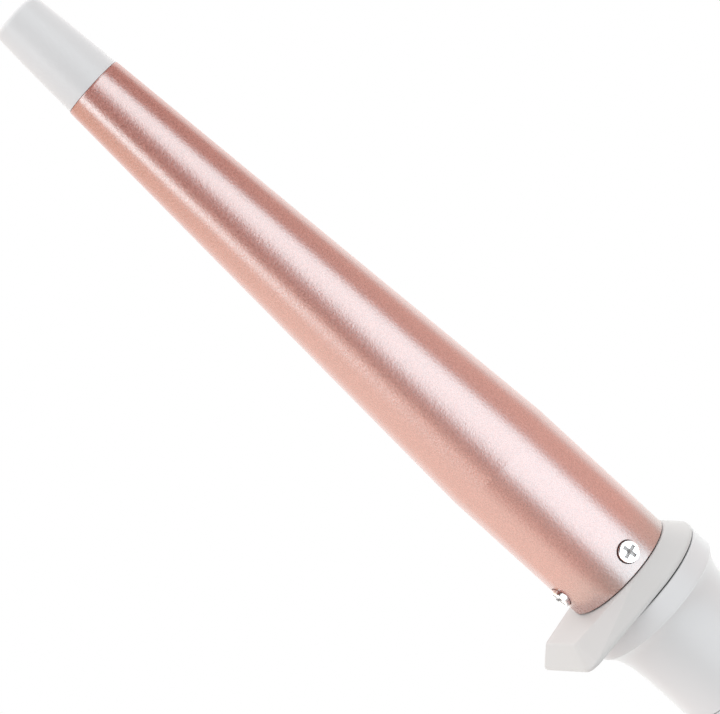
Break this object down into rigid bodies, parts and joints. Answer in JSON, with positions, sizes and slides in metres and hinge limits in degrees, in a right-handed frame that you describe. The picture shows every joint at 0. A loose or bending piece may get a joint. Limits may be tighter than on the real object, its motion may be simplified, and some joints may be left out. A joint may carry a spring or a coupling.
{
  "type": "curling wand",
  "caption": "Conical hair curling wand: tapering coated barrel, cool tip, collar with rest foot, necked handle, push buttons and a swivelling cord inlet.",
  "frame": {"origin": "centre of the cord bore where its straight wall ends at the mouth, at the rear of the handle", "axes": "+X along the wand, from the cool tip to the cord inlet; +Z from the rest foot to the buttons; +Y completes the right-handed set"},
  "size_m": [0.3328, 0.0318, 0.039],
  "materials": {
    "white_plastic": "satin moulded white plastic",
    "collar_plastic": "satin moulded pale grey plastic",
    "rose_coat": "fine speckled rose-gold ceramic coating on aluminium",
    "chrome_steel": "nickel-plated screws",
    "plated_steel": "zinc-plated steel",
    "aluminium": "cast, as extruded",
    "ptc_ceramic": "fired heater ceramic",
    "brass": "stamped",
    "polyimide": "amber film",
    "spring_steel": "spring steel",
    "glass_bead": "glass bead",
    "fuse_can": "ceramic-coated can",
    "mica": "pressed mica sheet",
    "bakelite": "phenolic moulding",
    "seal_rubber": "black heat-resistant seal",
    "bezel_satin": "satin silver",
    "rose_button": "rose-gold satin plastic",
    "clear_plastic": "clear light pipe",
    "board_green": "solder resist",
    "black_plastic": "moulded black",
    "led_epoxy": "clear epoxy",
    "capacitor_yellow": "epoxy-dipped film",
    "connector_nylon": "natural nylon",
    "wire_red": "silicone sleeving",
    "wire_white": "silicone sleeving",
    "wire_blue": "silicone sleeving",
    "swivel_plastic": "satin moulded white plastic",
    "copper": "plated copper"
  },
  "bodies": {
    "wand_body": {"cool_tip": "white_plastic", "tip_washer": "mica", "tip_retainer": "spring_steel", "barrel": "rose_coat", "spreader_upper": "aluminium", "spreader_lower": "aluminium", "ptc_elements": "ptc_ceramic", "electrode_upper": "brass", "electrode_lower": "brass", "insulating_film": "polyimide", "pressure_spring": "spring_steel", "thermistor": "glass_bead", "thermal_fuse": "fuse_can", "mica_disc": "mica", "barrel_holder": "bakelite", "barrel_screws": "chrome_steel", "barrel_gasket": "seal_rubber", "collar": "collar_plastic", "collar_seal": "seal_rubber", "neck_shell": "white_plastic", "holder_screws": "plated_steel", "handle_upper": "white_plastic", "handle_lower": "white_plastic", "shell_screws": "plated_steel", "control_bezel": "bezel_satin", "led_window": "clear_plastic", "circuit_board": "board_green", "tact_switches": "black_plastic", "indicator_leds": "led_epoxy", "triac": "black_plastic", "film_capacitor": "capacitor_yellow", "wire_connector": "connector_nylon", "board_screws": "plated_steel", "heater_leads": "wire_red", "sensor_leads": "wire_white", "supply_leads": "wire_blue", "swivel_bush": "connector_nylon", "brush_holder": "bakelite", "brush_contacts": "brass"},
    "power_button": {"power_button": "rose_button"},
    "plus_button": {"plus_button": "rose_button"},
    "minus_button": {"minus_button": "rose_button"},
    "cord_swivel": {"cord_swivel": "swivel_plastic", "contact_rings": "copper"}
  },
  "joints": [
    {"name": "power_button_press", "type": "slide", "parent": "wand_body", "child": "power_button", "axis": [0, 0, -1], "range_m": [0, 0.0006], "stiffness_N_per_m": 900, "springref_m": -0.0005},
    {"name": "plus_button_press", "type": "slide", "parent": "wand_body", "child": "plus_button", "axis": [0, 0, -1], "range_m": [0, 0.0006], "stiffness_N_per_m": 900, "springref_m": -0.0005},
    {"name": "minus_button_press", "type": "slide", "parent": "wand_body", "child": "minus_button", "axis": [0, 0, -1], "range_m": [0, 0.0006], "stiffness_N_per_m": 900, "springref_m": -0.0005},
    {"name": "cord_swivel_turn", "type": "hinge", "parent": "wand_body", "child": "cord_swivel", "pos_m": [0, 0, 0], "axis": [1, 0, 0], "continuous": true}
  ]
}
